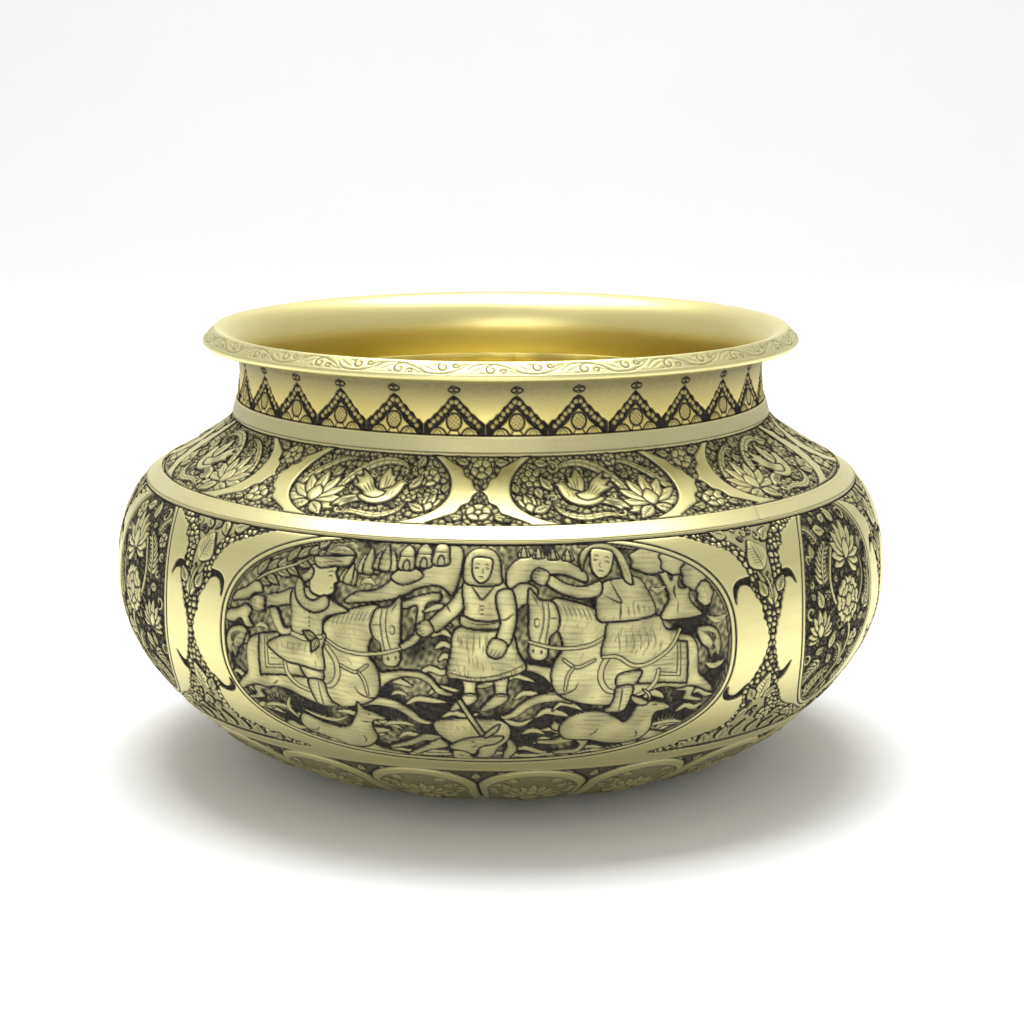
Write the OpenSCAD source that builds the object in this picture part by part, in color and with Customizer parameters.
// Round-bellied sheet brass bowl: spun shells lapped into one another, brazed along the seams on the inside,
// with thin bands laid over the two upper seams and a wire rolled into the turned-down lip.
// Every piece is a ring or a dish about the Z axis, and the bowl stands on z = 0.

/* [Belly] */
// Largest outer radius of the belly
belly_r = 115; // [100:1:130]
// Height of the widest ring above the floor
belly_z = 58; // [52:1:64]
// Radius of the flat that the bowl stands on
foot_r = 40; // [30:1:50]
// How far the lower curve drops straight down from the widest ring before it turns in
belly_drop = 27; // [18:1:34]
// Radius at which the lower curve levels out towards the foot
belly_turn_r = 81; // [70:1:90]

/* [Shoulder] */
// Outer radius at the lower edge of the belly strap
strap_low_r = 105.8; // [103:0.2:108]
// Height of the lower edge of the belly strap
strap_low_z = 86.4; // [84:0.2:88]
// Outer radius at the upper edge of the belly strap
strap_top_r = 101.2; // [99:0.2:102]
// Height of the upper edge of the belly strap
strap_top_z = 89.5; // [89:0.1:91]

/* [Neck] */
// Outer radius where the shoulder meets the neck strap
neck_foot_r = 79.8; // [79:0.2:82]
// Height where the shoulder meets the neck strap
neck_foot_z = 104.7; // [103:0.1:106]
// Outer radius at the upper edge of the neck strap
neck_band_r = 78.6; // [78:0.2:79.6]
// Height of the upper edge of the neck strap
neck_band_z = 109.4; // [108:0.1:110]
// Outer radius of the neck at its narrowest
neck_r = 77.8; // [76:0.2:78.6]
// Height at which the neck starts to flare
flare_z = 118.5; // [116:0.5:120]

/* [Rim] */
// Outer radius of the top edge of the mouth
rim_r = 85; // [83:0.5:86]
// Height of the top edge, which is the height of the bowl
rim_z = 130.4; // [129:0.2:132]
// Radius of the wire rolled into the edge of the lip
wire_r = 0.8; // [0.6:0.1:1]
// Distance from the axis to the middle of that wire
wire_ring_r = 87.1; // [86.6:0.1:88]
// Height of the middle of that wire
wire_z = 126.5; // [125.6:0.1:127.2]

/* [Metal] */
// Thickness of the shells
wall = 1.2; // [1:0.1:1.5]
// Thickness of the turned-down lip
lip_wall = 0.5; // [0.4:0.1:0.6]
// Thickness of the bands laid over the seams
band_wall = 0.4; // [0.3:0.1:0.6]
// How far the brazing stands off the shells along each inner seam
braze_rise = 0.8; // [0.4:0.1:1.2]

/* [Hidden] */
$fn = 96;

// The outline runs over the outer face from the middle of the foot up to the start of the flare.
// Each stretch is a cubic curve or a straight line, and stretches share their end points.
low_curve = [[foot_r, 0], [belly_turn_r, 0], [belly_r, belly_z - belly_drop], [belly_r, belly_z]];
up_curve = [[belly_r, belly_z], [belly_r, belly_z + 13.4], [strap_low_r + 6.1, strap_low_z - 5.5],
            [strap_low_r, strap_low_z]];
shoulder_curve = [[strap_top_r, strap_top_z], [strap_top_r - 10.2, strap_top_z + 6.2],
                  [neck_foot_r + 2.9, neck_foot_z - 4.6], [neck_foot_r, neck_foot_z]];
neck_curve = [[neck_band_r, neck_band_z], [neck_r + 0.3, neck_band_z + 3], [neck_r, flare_z - 3],
              [neck_r, flare_z]];
flare_curve = [[neck_r, flare_z], [neck_r, flare_z + 5.5], [rim_r - 4, rim_z - wall - 0.6],
               [rim_r - 0.4, rim_z - wall]];

// Where the pan stops on the low curve, and how far its tongue runs on behind the belly wall
pan_end = 0.55;
pan_lap = 0.6;

function bezier(p, t) =
    pow(1 - t, 3) * p[0] + 3 * pow(1 - t, 2) * t * p[1] + 3 * (1 - t) * t * t * p[2] + pow(t, 3) * p[3];

// The points of a curve from t0 to t1, without the first one
function stretch(p, t0, t1, n) = [for (i = [1:n]) bezier(p, t0 + (t1 - t0) * i / n)];

// A share of the way from a to b
function between(a, b, share) = a + share * (b - a);

strap_low = up_curve[3];
strap_top = shoulder_curve[0];
neck_foot = shoulder_curve[3];
neck_band = neck_curve[0];

// The numbers of points in each stretch
pan_n = 14;
lap_n = 2;
wall_n = 14;
up_n = 12;
shoulder_n = 12;
neck_n = 6;
flare_n = 10;

outline = concat(
    [[0, 0], [foot_r, 0]],
    stretch(low_curve, 0, pan_end, pan_n),
    stretch(low_curve, pan_end, pan_lap, lap_n),
    stretch(low_curve, pan_lap, 1, wall_n),
    stretch(up_curve, 0, 1, up_n),
    [between(strap_low, strap_top, 0.5), strap_top],
    stretch(shoulder_curve, 0, 1, shoulder_n),
    [between(neck_foot, neck_band, 0.5), neck_band],
    stretch(neck_curve, 0, 1, neck_n),
    stretch(flare_curve, 0, 1, flare_n)
);

// The numbers of the points at which the shells part
pan_at = 1 + pan_n;
pan_lap_at = pan_at + lap_n;
strap_low_at = pan_lap_at + wall_n + up_n;
strap_mid_at = strap_low_at + 1;
strap_top_at = strap_low_at + 2;
neck_foot_at = strap_top_at + shoulder_n;
neck_mid_at = neck_foot_at + 1;
neck_band_at = neck_foot_at + 2;
flare_top_at = neck_band_at + neck_n + flare_n;

// The unit normal at point i, towards the inside of the bowl, halfway between its two neighbours' directions
function unit(v) = v / norm(v);
function side(a, b) = unit([a[1] - b[1], b[0] - a[0]]);
function heading(angle) = [cos(angle), sin(angle)];
function inward(path, i) =
    let (last = len(path) - 1)
    i == 0 ? side(path[0], path[1]) :
    i == last ? side(path[last - 1], path[last]) :
    unit(side(path[i - 1], path[i]) + side(path[i], path[i + 1]));

// The stretch of the outline from point a to point b, moved inwards by depth
function layer(a, b, depth) = [for (i = [a:b]) outline[i] + depth * inward(outline, i)];
function backwards(path) = [for (i = [len(path) - 1:-1:0]) path[i]];

// The sheet between two depths from point a to point b
function sheet(a, b, near, far) = concat(layer(a, b, near), backwards(layer(a, b, far)));

// A shell whose outer half runs from point a to point c. Its inner half starts at point b, which leaves room
// for the tongue of the shell below, and runs on to point d as its own tongue.
function shell(a, b, c, d) = concat(
    layer(a, c, 0),
    c == d ? [] : layer(c, d, wall / 2),
    backwards(layer(b, d, wall)),
    a == b ? [] : backwards(layer(a, b, wall / 2))
);

// A low ridge of brazing over the inner seam at point i, as wide as the two stretches that meet there
module braze_run(i) {
    rotate_extrude()
        polygon(concat(
            layer(i - 1, i + 1, wall),
            [outline[i] + (wall + braze_rise) * inward(outline, i)]
        ));
}

// Dished bottom, with a half-thickness tongue that stands up behind the belly wall
module base_pan() {
    color("darkkhaki")
        rotate_extrude()
            polygon(shell(0, 0, pan_at, pan_lap_at));
}

// Wall of the belly, from the pan up to the middle of the belly strap
module belly_wall() {
    color("khaki")
        rotate_extrude()
            polygon(shell(pan_at, pan_lap_at, strap_mid_at, strap_top_at));
}

// Sloping shoulder, from the middle of the belly strap up to the middle of the neck strap
module shoulder_ring() {
    color("khaki")
        rotate_extrude()
            polygon(shell(strap_mid_at, strap_top_at, neck_mid_at, neck_band_at));
}

// Neck, flare and turned-down lip, all one sheet whose edge is rolled round the rim wire
module mouth_collar() {
    roll_r = wire_r + lip_wall;
    wire_at = [wire_ring_r, wire_z];
    top_edge = [rim_r, rim_z];
    // the lip's face runs straight from the top edge to where it just touches the roll
    reach = top_edge - wire_at;
    touch = atan2(reach[1], reach[0]) - acos(roll_r / norm(reach));
    lip = concat(
        layer(neck_mid_at, flare_top_at, 0),
        [wire_at + wire_r * heading(touch), wire_at + wire_r * heading(touch - 60),
         wire_at + roll_r * heading(touch), top_edge],
        backwards(layer(neck_band_at, flare_top_at, wall)),
        backwards(layer(neck_mid_at, neck_band_at, wall / 2))
    );
    color("khaki")
        rotate_extrude()
            difference() {
                union() {
                    polygon(lip);
                    translate(wire_at)
                        circle(r = roll_r);
                }
                translate(wire_at)
                    circle(r = wire_r);
            }
}

// Wire inside the rolled edge of the lip
module rim_wire() {
    color("goldenrod")
        rotate_extrude()
            translate([wire_ring_r, wire_z])
                circle(r = wire_r);
}

// Band over the seam between the belly wall and the shoulder
module belly_strap() {
    color("palegoldenrod")
        rotate_extrude()
            polygon(sheet(strap_low_at, strap_top_at, -band_wall, 0));
}

// Band over the seam between the shoulder and the neck
module neck_strap() {
    color("palegoldenrod")
        rotate_extrude()
            polygon(sheet(neck_foot_at, neck_band_at, -band_wall, 0));
}

// Brazing inside the bowl, at the top of the pan's tongue
module base_braze() {
    color("darkgoldenrod")
        braze_run(pan_lap_at);
}

// Brazing inside the bowl, at the top of the belly wall's tongue
module belly_braze() {
    color("darkgoldenrod")
        braze_run(strap_top_at);
}

// Brazing inside the bowl, at the top of the shoulder's tongue
module neck_braze() {
    color("darkgoldenrod")
        braze_run(neck_band_at);
}

base_pan();
belly_wall();
shoulder_ring();
mouth_collar();
rim_wire();
belly_strap();
neck_strap();
base_braze();
belly_braze();
neck_braze();
